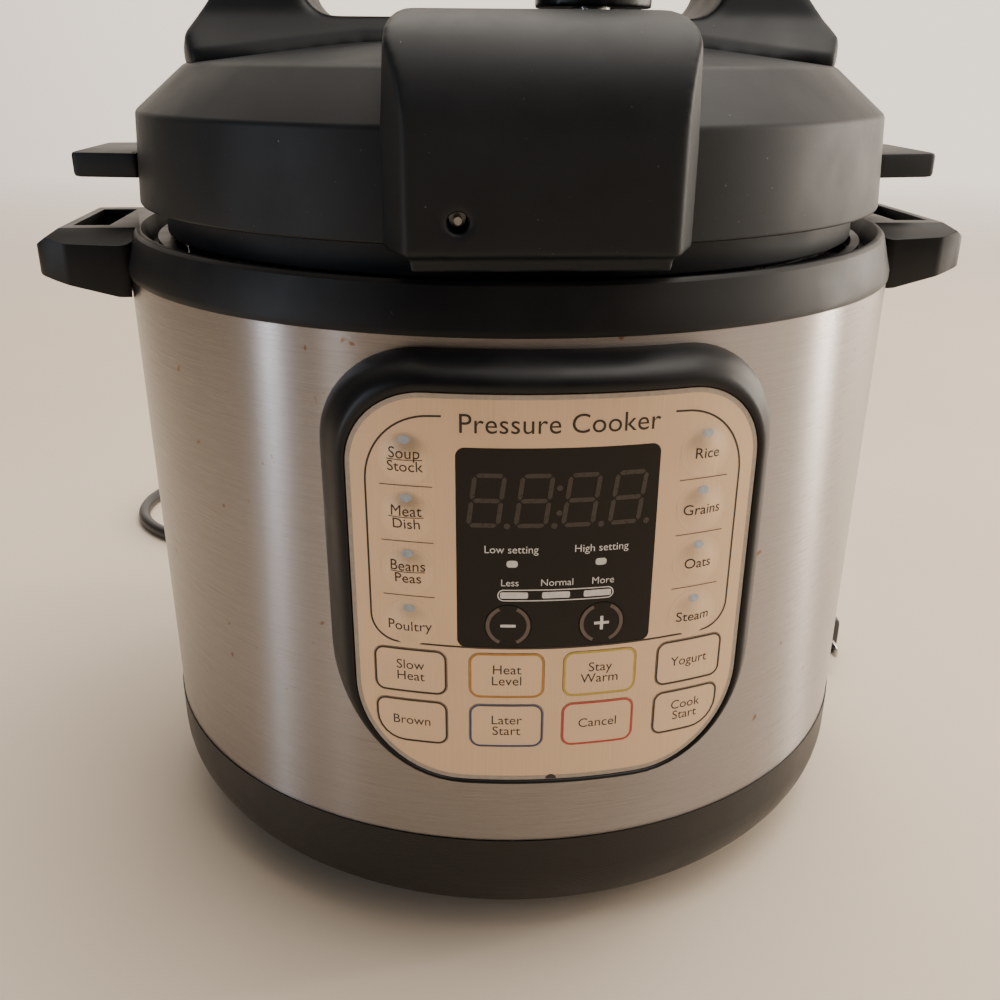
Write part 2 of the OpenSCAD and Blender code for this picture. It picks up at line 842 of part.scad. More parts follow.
module steam_shield() {
    color("#a19f9b") on_lid() translate([pipe_pos[0], pipe_pos[1], 0]) difference() {
        union() {
            tube(13.2, 14, 201, plate_low);
            disc(14, 200.4, 201.4);
        }
        for (a = [0:30:150]) rotate([0, 0, a]) translate([-20, -1, 203]) cube([40, 2, 4]);
    }
}

module valve_weight() {
    color("#a9a7a2") on_lid() translate([pipe_pos[0], pipe_pos[1], 0]) union() {
        disc(4.3, 294.3, 303);
        disc(1.2, 291, 294.5);
    }
}

module release_knob() {
    color("#1b1c1e") on_lid() translate([pipe_pos[0], pipe_pos[1], 0]) difference() {
        union() {
            disc(knob_r, housing_top + 1.5, 299);
            disc(knob_r - 3, 298, 306);
            rotate([0, 0, 20]) translate([0, 8, 304]) linear_extrude(height = 6) rounded_rect(11, 44, 5);
        }
        disc(5.5, 200, 294.2);
        disc(4.6, 290, 303.3);
        rotate([0, 0, 20]) translate([knob_r - 0.8, -0.6, 270]) cube([3, 1.2, 28]);
    }
}

module float_valve() {
    color("#b4b2ad") on_lid() translate([float_pos[0], float_pos[1], 0]) union() {
        disc(3.3, 202.5, 272);
        disc(5, 271, 274);
    }
}

module float_cap() {
    color("#d9dbdc") on_lid() translate([float_pos[0], float_pos[1], 0]) tube(3.4, 6, 202.5, 205.4);
}

module lock_pin() {
    color("#9c9c9a") on_lid() at_lock(26) union() {
        cylinder(r = lock_pin_r, h = 21.5);
        translate([0, 0, 15]) cylinder(r = 2.1, h = 1);
    }
}

module lock_spring() {
    color("#8f8f8f") on_lid() at_lock(16.8) translate([0, 0, 0.5])
        sweep(helix(1.8, 4.4, 5, 12), 0.25, [0, 0, 1], 6);
}

// ---- rear ----

module condensate_cup() {
    color("#b9c2c6") on_axis() intersection() {
        difference() {
            translate([0, 0, cup_z]) linear_extrude(height = cup_h) cup_plan(0);
            translate([0, 0, cup_z + 1.6]) linear_extrude(height = cup_h) cup_plan(1.6);
        }
        disc(200, cup_z, cup_z + cup_h);
    }
}

module cup_plan(inset) {
    difference() {
        translate([0, 115 + inset]) offset(r = 6 - inset) offset(delta = -6)
            translate([-cup_w / 2, 0]) square([cup_w, cup_back - 115 - inset]);
        circle(r = body_r + slide_gap + inset);
    }
}

module power_inlet() {
    color("#151515") on_axis() translate([0, inlet_front, inlet_z]) difference() {
        translate([-inlet_w / 2, 0, -inlet_h / 2]) cube([inlet_w, inlet_back - inlet_front, inlet_h]);
        translate([-12.2, 8, -8.2]) cube([24.4, 30, 16.4]);
    }
    color("silver") on_axis() for (p = inlet_pins)
        translate([p[0] - 1, inlet_front + 7.5, inlet_z + p[1] - 2]) cube([2, 14, 4]);
}

// Moulded connector, its nose over the inlet's pins
module lead_connector() {
    color("#141414") on_axis() difference() {
        union() {
            translate([-12, inlet_front + 10, inlet_z - 8]) cube([24, inlet_back - inlet_front - 9, 16]);
            translate([-14, inlet_back + 0.5, inlet_z - 10]) cube([28, 24, 20]);
            translate([0, inlet_back + 24, inlet_z]) rotate([-90, 0, 0])
                cylinder(r = 6.5, h = lead_start - inlet_back - 24);
        }
        for (p = inlet_pins)
            translate([p[0] - 1.2, inlet_front, inlet_z + p[1] - 2.2]) cube([2.4, 22, 4.4]);
    }
}

module power_lead() {
    color("#141414") on_axis() sweep(curve(lead_route, 3), lead_r);
}

module lead_plug() {
    color("#141414") on_axis() translate(plug_pos) union() {
        translate([-12, -44, -9]) cube([24, 44, 20]);
        for (x = [-6, 6]) translate([x - 0.75, -61, -2]) cube([1.5, 18, 6.4]);
    }
}

base_housing();
bottom_cover();
base_feet();
base_screws();
steel_shell();
rim_ring();
outer_pot();
bayonet_ring();
inner_pot();
heating_plate();
heating_element();
thermal_sensor();
sensor_spring();
sensor_bracket();
pressure_switch();
power_board();
control_board();
panel_bezel();
panel_face();
key_membrane();
display_window();
display_module();
key_soup();
key_stew();
key_beans();
key_poultry();
key_rice();
key_grain();
key_oats();
key_steam();
key_slow();
key_level();
key_warm();
key_yogurt();
key_brown();
key_timer();
key_cancel();
key_cook();
key_minus();
key_plus();
lid_cover();
valve_housing();
lid_handle();
lid_plate();
lid_screws();
sealing_ring();
ring_rack();
steam_pipe();
steam_shield();
valve_weight();
release_knob();
float_valve();
float_cap();
lock_pin();
lock_spring();
condensate_cup();
power_inlet();
lead_connector();
power_lead();
lead_plug();
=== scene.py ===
"""Electric pressure cooker: looks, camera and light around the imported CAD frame."""
import json
import math
import bmesh
import bpy
import numpy as np
from mathutils import Matrix, Vector


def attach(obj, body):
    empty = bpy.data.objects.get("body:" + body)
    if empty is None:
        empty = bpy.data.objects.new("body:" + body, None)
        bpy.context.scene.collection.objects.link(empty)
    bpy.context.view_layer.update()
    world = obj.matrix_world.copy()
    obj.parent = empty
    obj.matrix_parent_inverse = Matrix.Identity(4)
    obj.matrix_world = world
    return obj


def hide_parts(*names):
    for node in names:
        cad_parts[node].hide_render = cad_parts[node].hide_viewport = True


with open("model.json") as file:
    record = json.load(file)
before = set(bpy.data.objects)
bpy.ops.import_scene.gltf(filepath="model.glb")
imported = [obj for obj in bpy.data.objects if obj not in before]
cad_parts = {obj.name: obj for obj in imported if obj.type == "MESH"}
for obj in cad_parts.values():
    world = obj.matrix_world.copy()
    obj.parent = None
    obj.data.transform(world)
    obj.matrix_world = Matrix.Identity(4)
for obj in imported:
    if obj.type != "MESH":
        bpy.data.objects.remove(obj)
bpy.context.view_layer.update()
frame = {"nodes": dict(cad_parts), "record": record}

MM = 0.001
POT_Y = -0.010                      # the pot's axis, from the origin
PANEL_R = 0.144                     # outside of the panel face
RIM_TOP = 0.2146
LID_R = 0.127                       # the lid before its edges are drawn in
LID_Z = RIM_TOP + 0.008             # lower edge of the lid
SHOULDER_Z = LID_Z + 0.028
CONE_Z = SHOULDER_Z + 0.014
CROWN_Z = CONE_Z + 0.0074
LID_TURN = math.radians(-1.8)       # the closed lid rests a little clockwise of the body
scene = bpy.context.scene


# ---- camera ----

def make_camera():
    """Close in front of the cooker, a little to its left, looking down on the panel."""
    turn, distance, height = math.radians(5.5), 0.400, 0.2656
    pitch, yaw, roll = math.radians(23.72), math.radians(-5.17), math.radians(0.36)
    data = bpy.data.cameras.new("camera")
    data.sensor_width, data.lens = 36, 38.34
    data.shift_y = 0.029
    data.clip_start, data.clip_end = 0.01, 30
    cam = bpy.data.objects.new("camera", data)
    scene.collection.objects.link(cam)
    place = Vector((-distance * math.sin(turn), POT_Y - distance * math.cos(turn), height))
    look = (Matrix.Rotation(yaw, 4, "Z") @ Matrix.Rotation(math.pi / 2 - pitch, 4, "X")
            @ Matrix.Rotation(roll, 4, "Z"))
    cam.matrix_world = Matrix.Translation(place) @ look
    scene.camera = cam


make_camera()


# ---- mesh helpers ----

def link(name, mesh, body, material, smooth=True):
    """Makes the mesh an object that rides on a body and wears a material."""
    obj = bpy.data.objects.new(name, mesh)
    scene.collection.objects.link(obj)
    mesh.materials.clear()
    mesh.materials.append(material)
    if smooth:
        mesh.polygons.foreach_set("use_smooth", [True] * len(mesh.polygons))
    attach(obj, body)
    return obj


def mesh_from(name, verts, faces):
    """A checked mesh from points and faces."""
    mesh = bpy.data.meshes.new(name)
    mesh.from_pydata([tuple(v) for v in verts], [], faces)
    mesh.validate()
    mesh.update()
    return mesh


def rounded_profile(points, radius, steps=4):
    """Closed (r, z) outline with each corner rounded. A point may carry its own radius."""
    out = []
    n = len(points)
    for i in range(n):
        p = np.array(points[i][:2], float)
        r = points[i][2] if len(points[i]) > 2 else radius
        a, b = np.array(points[i - 1][:2], float), np.array(points[(i + 1) % n][:2], float)
        da, db = a - p, b - p
        la, lb = np.linalg.norm(da), np.linalg.norm(db)
        cut = min(r, la * 0.45, lb * 0.45)
        if cut < 1e-6 or p[0] < 1e-6:
            out.append(tuple(p))
            continue
        s, e = p + da / la * cut, p + db / lb * cut
        for k in range(steps + 1):
            t = k / steps
            out.append(tuple((1 - t) ** 2 * s + 2 * t * (1 - t) * p + t * t * e))
    return out


def lathe(name, profile, segments=256, centre=(0, POT_Y)):
    """Turns a closed (r, z) outline round a vertical axis."""
    verts, faces = [], []
    n = len(profile)
    for k in range(segments):
        a = 2 * math.pi * k / segments
        for r, z in profile:
            verts.append((centre[0] + r * math.cos(a), centre[1] + r * math.sin(a), z))
    for k in range(segments):
        m = (k + 1) % segments
        for i in range(n):
            j = (i + 1) % n
            faces.append((k * n + i, m * n + i, m * n + j, k * n + j))
    mesh = mesh_from(name, verts, faces)
    tidy_mesh(mesh)
    return mesh


def tidy_mesh(mesh, dissolve=None):
    """Joins doubled points and turns faces outward. Faces flat to within dissolve degrees become one."""
    bm = bmesh.new()
    bm.from_mesh(mesh)
    bmesh.ops.remove_doubles(bm, verts=bm.verts, dist=1e-6)
    if dissolve:
        bmesh.ops.dissolve_limit(bm, angle_limit=math.radians(dissolve),
                                 verts=bm.verts, edges=bm.edges)
    bmesh.ops.recalc_face_normals(bm, faces=bm.faces)
    bm.to_mesh(mesh)
    bm.free()


def apply_modifiers(obj):
    """Makes the modified shape the object's own mesh."""
    dg = bpy.context.evaluated_depsgraph_get()
    mesh = bpy.data.meshes.new_from_object(obj.evaluated_get(dg))
    obj.modifiers.clear()
    old = obj.data
    obj.data = mesh
    bpy.data.meshes.remove(old)


def softened(node, body, material, width, segments=2, angle=28, name=None):
    """A copy of a CAD node with its sharp edges rolled over, shown in its place."""
    mesh = frame["nodes"][node].data.copy()
    tidy_mesh(mesh, dissolve=0.6)
    obj = link(name or node + ".moulded", mesh, body, material)
    bevel = obj.modifiers.new("bevel", "BEVEL")
    bevel.width, bevel.segments = width, segments
    bevel.limit_method, bevel.angle_limit = "ANGLE", math.radians(angle)
    bevel.harden_normals = True
    bevel.use_clamp_overlap = True
    apply_modifiers(obj)
    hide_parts(node)
    return obj


def moulded(node, body, material, voxel, rounds, name=None):
    """A copy of a CAD node remeshed and relaxed, so that its edges flow into each other."""
    mesh = frame["nodes"][node].data.copy()
    tidy_mesh(mesh)
    obj = link(name or node + ".moulded", mesh, body, material)
    remesh = obj.modifiers.new("remesh", "REMESH")
    remesh.mode, remesh.voxel_size, remesh.use_smooth_shade = "VOXEL", voxel, True
    relax = obj.modifiers.new("relax", "SMOOTH")
    relax.factor, relax.iterations = 0.5, rounds
    apply_modifiers(obj)
    obj.data.polygons.foreach_set("use_smooth", [True] * len(obj.data.polygons))
    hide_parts(node)
    return obj


# ---- materials ----

NOISE_LOW, NOISE_HIGH = 0.3, 0.7    # where most of a noise's values lie
SPECK_FULL = 0.80                   # noise level at which a speck is solid
DUST, RUST = (0.42, 0.40, 0.37), (0.20, 0.085, 0.03)


def tinted(colour, factor, plus=0.0):
    """A lighter or darker colour, kept within white."""
    return tuple(min(1, c * factor + plus) for c in colour)


class Nodes:
    """Short hand for building one material's node tree."""

    def __init__(self, name):
        self.mat = bpy.data.materials.new(name)
        self.mat.use_nodes = True
        self.tree = self.mat.node_tree
        self.shader = self.tree.nodes["Principled BSDF"]

    def node(self, kind, **values):
        """A new node with its sockets or settings given by name."""
        n = self.tree.nodes.new(kind)
        for key, value in values.items():
            if key in n.inputs:
                n.inputs[key].default_value = value
            else:
                setattr(n, key, value)
        return n

    def join(self, a, out, b, socket):
        self.tree.links.new(a.outputs[out], b.inputs[socket])

    def coords(self, scale=(1, 1, 1), drum=False):
        """Object coordinates, or (angle, radius, height) about the pot's axis."""
        place = self.node("ShaderNodeTexCoord")
        if drum:
            shift = self.node("ShaderNodeVectorMath", operation="SUBTRACT")
            shift.inputs[1].default_value = (0, POT_Y, 0)
            self.join(place, "Object", shift, 0)
            parts = self.node("ShaderNodeSeparateXYZ")
            self.join(shift, 0, parts, 0)
            angle = self.node("ShaderNodeMath", operation="ARCTAN2")
            self.join(parts, "Y", angle, 0)
            self.join(parts, "X", angle, 1)
            joined = self.node("ShaderNodeCombineXYZ")
            self.join(angle, 0, joined, "X")
            self.join(parts, "Z", joined, "Z")
            source, out = joined, 0
        else:
            source, out = place, "Object"
        mapping = self.node("ShaderNodeMapping")
        mapping.inputs["Scale"].default_value = scale
        self.join(source, out, mapping, "Vector")
        return mapping

    def noise(self, vector, scale, detail=4, roughness=0.55):
        n = self.node("ShaderNodeTexNoise", Scale=scale, Detail=detail, Roughness=roughness)
        self.join(vector, "Vector", n, "Vector")
        return n

    def ramp(self, source, out, stops):
        r = self.node("ShaderNodeValToRGB")
        while len(r.color_ramp.elements) < len(stops):
            r.color_ramp.elements.new(0.5)
        for e, (at, colour) in zip(r.color_ramp.elements, stops):
            e.position = at
            e.color = (*colour, 1) if len(colour) == 3 else colour
        self.join(source, out, r, "Fac")
        return r

    def spread(self, source, out, low, high, start=0.0, end=1.0):
        m = self.node("ShaderNodeMapRange")
        for key, value in (("From Min", start), ("From Max", end), ("To Min", low), ("To Max", high)):
            m.inputs[key].default_value = value
        self.join(source, out, m, "Value")
        return m

    def bump(self, source, out, distance, strength=1.0, under=None):
        b = self.node("ShaderNodeBump", Distance=distance, Strength=strength)
        self.join(source, out, b, "Height")
        if under:
            self.join(under, 0, b, "Normal")
        self.join(b, 0, self.shader, "Normal")
        return b

    def gloss(self, noise, low, high):
        """Roughness that wanders between two values."""
        rough = self.spread(noise, "Fac", low, high, NOISE_LOW, NOISE_HIGH)
        self.join(rough, "Result", self.shader, "Roughness")

    def specks(self, under, noise, amount, start, colour):
        """Specks of a colour over a ramp, where a noise rises above start."""
        mask = self.spread(noise, "Fac", 0, amount, start, SPECK_FULL)
        mix = self.node("ShaderNodeMix", data_type="RGBA")
        self.join(mask, "Result", mix, 0)
        self.join(under, "Color", mix, 6)
        mix.inputs[7].default_value = (*colour, 1)
        return mix


def plastic(name, colour, roughness=0.45, grain=2600, depth=0.00004, dust=0.0, specular=0.5, lines=0):
    """Moulded plastic: fine texture, patchy gloss, a little dust, and level tool marks for lines."""
    n = Nodes(name)
    at = n.coords()
    cloud = n.noise(at, 38, 5)
    base, out = n.ramp(cloud, "Fac", [(0.32, colour), (0.74, tinted(colour, 1.3, 0.002))]), "Color"
    if dust:
        base, out = n.specks(base, n.noise(at, 900, 2, 0.7), dust, 0.745, DUST), 2
    n.join(base, out, n.shader, "Base Color")
    n.gloss(cloud, max(0.05, roughness - 0.07), min(1, roughness + 0.08))
    n.shader.inputs["Specular IOR Level"].default_value = specular
    first = n.bump(n.noise(at, grain, 2), "Fac", depth, 0.5)
    if lines:
        parts = n.node("ShaderNodeSeparateXYZ")
        n.join(at, 0, parts, 0)
        wave = n.node("ShaderNodeMath", operation="SINE")
        scaled = n.node("ShaderNodeMath", operation="MULTIPLY")
        scaled.inputs[1].default_value = lines
        n.join(parts, "Z", scaled, 0)
        n.join(scaled, 0, wave, 0)
        n.bump(wave, 0, 0.00005, 0.5, under=first)
    return n.mat


def brushed(name, colour, roughness=0.3, streaks=900, spots=False, aniso=0.0, swing=0.26):
    """Steel brushed round the drum. swing is how far its colour strays, and spots adds rust flecks."""
    n = Nodes(name)
    at = n.coords((0.6, 1, streaks), drum=True)
    wide = n.noise(at, 3, 6, 0.65)
    fine = n.noise(at, 14, 4, 0.7)
    dark, bright = tinted(colour, 1 - swing), tinted(colour, 1 + 0.7 * swing)
    base, out = n.ramp(wide, "Fac", [(0.3, dark), (0.52, colour), (0.7, bright)]), "Color"
    if spots:
        base, out = n.specks(base, n.noise(n.coords(), 210, 1, 0.4), 0.75, 0.765, RUST), 2
    n.join(base, out, n.shader, "Base Color")
    n.shader.inputs["Metallic"].default_value = 1
    n.gloss(fine, roughness - 0.09, roughness + 0.1)
    n.bump(fine, "Fac", 0.00002, 0.6)
    if aniso:
        tangent = n.node("ShaderNodeTangent", direction_type="RADIAL", axis="Z")
        n.join(tangent, 0, n.shader, "Tangent")
        n.shader.inputs["Anisotropic"].default_value = aniso
        n.shader.inputs["Anisotropic Rotation"].default_value = 0.25
    return n.mat


def metal(name, colour, roughness=0.3, scale=160, depth=0.00003):
    """Cast, turned or drawn metal with a mottled surface."""
    n = Nodes(name)
    cloud = n.noise(n.coords(), scale, 5)
    tone = n.ramp(cloud, "Fac", [(0.3, tinted(colour, 0.8)), (0.7, colour)])
    n.join(tone, "Color", n.shader, "Base Color")
    n.shader.inputs["Metallic"].default_value = 1
    n.gloss(cloud, roughness - 0.06, roughness + 0.12)
    n.bump(cloud, "Fac", depth, 0.4)
    return n.mat


def film(name, colour, roughness=0.34):
    """Printed metallic film: champagne base with fine vertical brushing under a soft coat."""
    n = Nodes(name)
    at = n.coords((140, 1, 5), drum=True)
    fine = n.noise(at, 9, 4, 0.7)
    cloud = n.noise(n.coords(), 60, 4)
    tone = n.ramp(fine, "Fac", [(0.25, tinted(colour, 0.86)), (0.75, tinted(colour, 1.08))])
    n.join(tone, "Color", n.shader, "Base Color")
    n.shader.inputs["Metallic"].default_value = 0.75
    n.gloss(cloud, roughness - 0.05, roughness + 0.07)
    n.shader.inputs["Coat Weight"].default_value = 0.35
    n.shader.inputs["Coat Roughness"].default_value = 0.22
    n.bump(fine, "Fac", 0.000015, 0.35)
    return n.mat


def ink(name, colour, roughness=0.5):
    """Screen-printed ink with slight wear."""
    n = Nodes(name)
    cloud = n.noise(n.coords(), 700, 3)
    tone = n.ramp(cloud, "Fac", [(0.3, colour), (0.75, tinted(colour, 1.25, 0.01))])
    n.join(tone, "Color", n.shader, "Base Color")
    n.gloss(cloud, roughness - 0.06, roughness + 0.08)
    return n.mat


def clear(name, colour, roughness=0.12):
    """Clear plastic with a faint haze."""
    n = Nodes(name)
    cloud = n.noise(n.coords(), 90, 4)
    tone = n.ramp(cloud, "Fac", [(0.3, colour), (0.7, tinted(colour, 1.08))])
    n.join(tone, "Color", n.shader, "Base Color")
    n.gloss(cloud, roughness, roughness + 0.1)
    n.shader.inputs["Transmission Weight"].default_value = 0.85
    n.shader.inputs["IOR"].default_value = 1.45
    n.bump(cloud, "Fac", 0.0001, 0.2)
    return n.mat


LOOKS = {                           # maker, colour, and what differs from the maker's usual
    "base_plastic": (plastic, (0.0075, 0.0062, 0.0056),
                     dict(roughness=0.42, dust=0.2, specular=0.36, lines=9000)),
    "rim_plastic": (plastic, (0.003, 0.0035, 0.0046), dict(dust=0.2, specular=0.26)),
    "lid_plastic": (plastic, (0.004, 0.0058, 0.0084), dict(roughness=0.5, dust=0.4, specular=0.28)),
    "knob_plastic": (plastic, (0.0045, 0.005, 0.007), dict(roughness=0.36, dust=0.2, specular=0.4)),
    "bezel_plastic": (plastic, (0.0032, 0.0036, 0.0048),
                      dict(roughness=0.4, grain=1800, depth=0.00002, specular=0.27)),
    "inlet_plastic": (plastic, (0.015, 0.015, 0.016), {}),
    "lead_sheath": (plastic, (0.014, 0.014, 0.015), dict(roughness=0.4, grain=1500)),
    "foot_rubber": (plastic, (0.02, 0.02, 0.02), dict(roughness=0.8, grain=1500, depth=0.0001)),
    "silicone": (plastic, (0.62, 0.64, 0.65), dict(roughness=0.4, grain=700)),
    "brushed_body": (brushed, (0.31, 0.287, 0.278),
                     dict(roughness=0.31, streaks=620, spots=True, aniso=0.95, swing=0.09)),
    "pot_steel": (brushed, (0.70, 0.69, 0.67), dict(roughness=0.24, streaks=700)),
    # painted shade: the bayonet ring's steel is coloured near black for the shade under the lid and inside
    # the rim
    "bayonet_steel": (brushed, (0.035, 0.035, 0.038), dict(roughness=0.42, streaks=500)),
    "inner_sheet": (metal, (0.55, 0.55, 0.54), dict(roughness=0.38)),
    "cast_plate": (metal, (0.58, 0.58, 0.58), dict(roughness=0.42, scale=260, depth=0.0001)),
    "element_sheath": (metal, (0.16, 0.15, 0.14), dict(roughness=0.55)),
    "fastener": (metal, (0.62, 0.62, 0.62), dict(roughness=0.22, scale=500)),
    "spring_steel": (metal, (0.5, 0.5, 0.49), dict(roughness=0.28, scale=500)),
    "circuit_board": (plastic, (0.02, 0.11, 0.05), dict(roughness=0.35, grain=900, depth=0.0001)),
    "panel_film": (film, (0.66, 0.49, 0.34), {}),
    "key_film": (film, (0.67, 0.505, 0.355), {}),
    "window_film": (plastic, (0.006, 0.0042, 0.0036),
                    dict(roughness=0.2, grain=900, depth=0.00001, specular=0.25)),
    "membrane_film": (plastic, (0.5, 0.43, 0.27), dict(roughness=0.4)),
    "display_block": (plastic, (0.05, 0.03, 0.028), dict(roughness=0.4)),
    "clear_plastic": (clear, (0.86, 0.9, 0.92), {}),
    "print_dark": (ink, (0.018, 0.012, 0.011), {}),
    "print_white": (ink, (0.62, 0.6, 0.58), {}),
    "print_dim": (ink, (0.024, 0.017, 0.014), dict(roughness=0.3)),
    "print_brown": (ink, (0.10, 0.072, 0.058), dict(roughness=0.35)),
    "print_orange": (ink, (0.42, 0.19, 0.025), {}),
    "print_olive": (ink, (0.44, 0.33, 0.03), {}),
    "print_blue": (ink, (0.025, 0.05, 0.13), {}),
    "print_red": (ink, (0.44, 0.035, 0.03), {}),
    # painted highlight: pale grey-blue sheen near the top of each key's dome
    "key_lens": (ink, (0.34, 0.37, 0.40), dict(roughness=0.35)),
    "print_edge": (ink, (0.33, 0.275, 0.23), dict(roughness=0.4)),
}
M = {name: make(name, colour, **options) for name, (make, colour, options) in LOOKS.items()}

slot_of = {part["node"]: part["material_slot"] for part in frame["record"]["subparts"]}
for node_name, node_obj in frame["nodes"].items():
    node_obj.data.materials.clear()
    node_obj.data.materials.append(M[slot_of[node_name]])


# ---- power lead ----

LEAD_D = 0.007
LEAD_ROUTE = [
    (0, 174, 22), (0, 190, 21), (-8, 206, 14), (-30, 217, 5.5), (-58, 214, 3.6), (-100, 200, 3.6),
    (-145, 190, 3.6), (-180, 200, 3.6), (-203, 228, 3.6), (-205, 262, 3.6), (-186, 292, 3.6),
    (-150, 306, 3.6), (-100, 304, 3.6), (-45, 292, 3.6), (15, 282, 3.6), (75, 266, 3.6),
    (122, 238, 3.6), (151, 196, 3.6), (159, 150, 3.6), (156, 112, 4.6), (154, 84, 9),
]
LEAD_POINTS = [Vector(p) * MM + Vector((0, POT_Y, 0)) for p in LEAD_ROUTE]


def smooth_route(points, steps):
    """A smooth curve through the points, with that many steps from each to the next."""
    out = []
    for i in range(len(points) - 1):
        a, b, c = points[max(i - 1, 0)], points[i], points[i + 1]
        d = points[min(i + 2, len(points) - 1)]
        for s in range(steps):
            t = s / steps
            out.append(0.5 * (2 * b + (c - a) * t + (2 * a - 5 * b + 4 * c - d) * t * t
                              + (3 * b - a - 3 * c + d) * t * t * t))
    return out + [points[-1]]


def make_lead():
    """The lead as one round tube along its route."""
    data = bpy.data.curves.new("power_lead.flex", "CURVE")
    data.dimensions = "3D"
    data.bevel_depth, data.bevel_resolution = LEAD_D / 2, 5
    data.use_fill_caps = True
    path = smooth_route(LEAD_POINTS, 8)
    spline = data.splines.new("POLY")
    spline.points.add(len(path) - 1)
    for point, at in zip(spline.points, path):
        point.co = (*at, 1)
    spline.use_smooth = True
    data.materials.append(M["lead_sheath"])
    obj = bpy.data.objects.new("power_lead.flex", data)
    scene.collection.objects.link(obj)
    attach(obj, "cooker")
    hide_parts("power_lead")
    return obj


lead = make_lead()


# ---- lead fittings ----

def block_loft(name, rings):
    """Skins a stack of rings with equal numbers of points and closes both ends."""
    verts = [v for ring in rings for v in ring]
    n = len(rings[0])
    faces = [tuple(range(n))[::-1], tuple(range((len(rings) - 1) * n, len(rings) * n))]
    for k in range(len(rings) - 1):
        for i in range(n):
            j = (i + 1) % n
            faces.append((k * n + i, k * n + j, (k + 1) * n + j, (k + 1) * n + i))
    mesh = mesh_from(name, verts, faces)
    tidy_mesh(mesh)
    return mesh


def oval(width, height, power=3.2, count=32):
    """Superellipse outline, which runs from oval to rounded block as power grows."""
    out = []
    for k in range(count):
        a = 2 * math.pi * k / count
        c, s = math.cos(a), math.sin(a)
        out.append((math.copysign(abs(c) ** (2 / power), c) * width / 2,
                    math.copysign(abs(s) ** (2 / power), s) * height / 2))
    return out


def along_y(x0, z0, stations):
    """Rings across the Y axis: (y, width, height, power) in millimetres."""
    rings = []
    for y, w, h, power in stations:
        rings.append([(x0 + a * MM, POT_Y + y * MM, z0 + b * MM) for a, b in oval(w, h, power)])
    return rings


CONNECTOR_Z = 0.022
RIB_START, RIB_PITCH = 159, 3       # of the strain relief, millimetres
RIBS = ((12.6, 10.6), (12, 10), (11.2, 9.2), (10.4, 8.6))   # across each ridge and the groove after it
BLADE_X, BLADE_LIFT = 6, 1.2        # millimetres


def fitting(name, x0, z0, stations, material="lead_sheath"):
    """A piece of the lead lofted along Y from its stations."""
    return link(name, block_loft(name, along_y(x0, z0, stations)), "cooker", M[material])


def make_connector():
    """Appliance connector with a waist to grip and a ribbed strain relief."""
    grip = [(132.6, 26.5, 18.5, 7), (133.2, 27.8, 19.8, 7), (138, 28, 20, 7), (139, 26.6, 18.6, 7),
            (141, 26.6, 18.6, 6), (142, 28, 20, 6), (150, 27, 19, 5), (154, 22, 16.5, 4), (157, 15, 13.5, 3)]
    relief = []
    for k, (ridge, groove) in enumerate(RIBS):
        y = RIB_START + RIB_PITCH * k
        relief += [(y, ridge, ridge, 2), (y + RIB_PITCH / 2, groove, groove, 2)]
    mouth = [(171, 9.6, 9.6, 2), (173.5, 8.4, 8.4, 2), (174, 7.2, 7.2, 2)]
    connector = fitting("lead_connector.body", 0, CONNECTOR_Z, grip + relief + mouth)
    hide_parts("lead_connector")
    return connector


def make_plug():
    """Flat plug at the lead's end, with its strain relief and two blades."""
    x0, y0, z0 = LEAD_ROUTE[-1]
    relief = [(0.5, 7.4, 7.4, 2), (-1, 9, 9, 2), (-2.5, 8.2, 8.2, 2), (-4, 10, 10, 2), (-5.5, 9, 9, 2),
              (-7, 11, 11, 2)]
    body = [(-9, 13.5, 12.5, 2.4), (-13, 19.5, 16, 3), (-18, 24.5, 18.6, 4), (-26, 28, 19.4, 5),
            (-38, 28, 19.4, 6), (-43, 27, 19.2, 7), (-44, 25.6, 18, 7)]
    stations = [(y0 + y, w, h, power) for y, w, h, power in relief + body]
    plug = fitting("lead_plug.body", x0 * MM, (z0 + 1) * MM, stations)
    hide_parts("lead_plug")
    blade = [(y0 + y, w, h, power) for y, w, h, power in
             ((-43.5, 1.5, 6.3, 9), (-59, 1.5, 6.3, 9), (-60.6, 1.0, 4.6, 6), (-61, 0.5, 3.6, 4))]
    blades = [fitting("lead_plug.blade_" + side, (x0 + x) * MM, (z0 + BLADE_LIFT) * MM, blade, "fastener")
              for side, x in (("left", -BLADE_X), ("right", BLADE_X))]
    return [plug] + blades


fittings = [make_connector()] + make_plug()


# ---- control panel ----

FACE_HALF = 55.5                    # millimetres here, as on a drawing
FACE_LOW, FACE_HIGH = 72.9, 189.6
DOME_SPREAD, DOME_RISE = 7.4, 0.95  # a soft embossed spot
CAP_RINGS = (0.02, 0.8, 1.6, 2.4, 3.2, 4.0, 4.8, 5.5, 6.2, 6.8, 7.3, 7.5, 7.54)
HIGHLIGHT_Y, HIGHLIGHT_R = 4.9, 1.25          # painted highlight near the top of each dome, above the key's name
UNDERLINE = 4.8, -0.42              # half length and height of the line between two names
ROUND_KEYS = {                      # turn in degrees, height, words
    "soup": (-16, 172, "Soup\nStock"), "stew": (-16, 155.9, "Meat\nDish"),
    "beans": (-16, 139.9, "Beans\nPeas"), "poultry": (-16, 123.4, "Poultry"),
    "rice": (16, 172, "Rice"), "grain": (16, 155.9, "Grains"),
    "oats": (16, 139.9, "Oats"), "steam": (16, 123.4, "Steam"),
}
WIDE_W, WIDE_H, WIDE_R, WIDE_BIG_R = 20.3, 13.6, 2.7, 8.2   # outline of a wide key, inside its edge
LOWER_LEFT, LOWER_RIGHT = 2, 3      # corners of a rounded rectangle
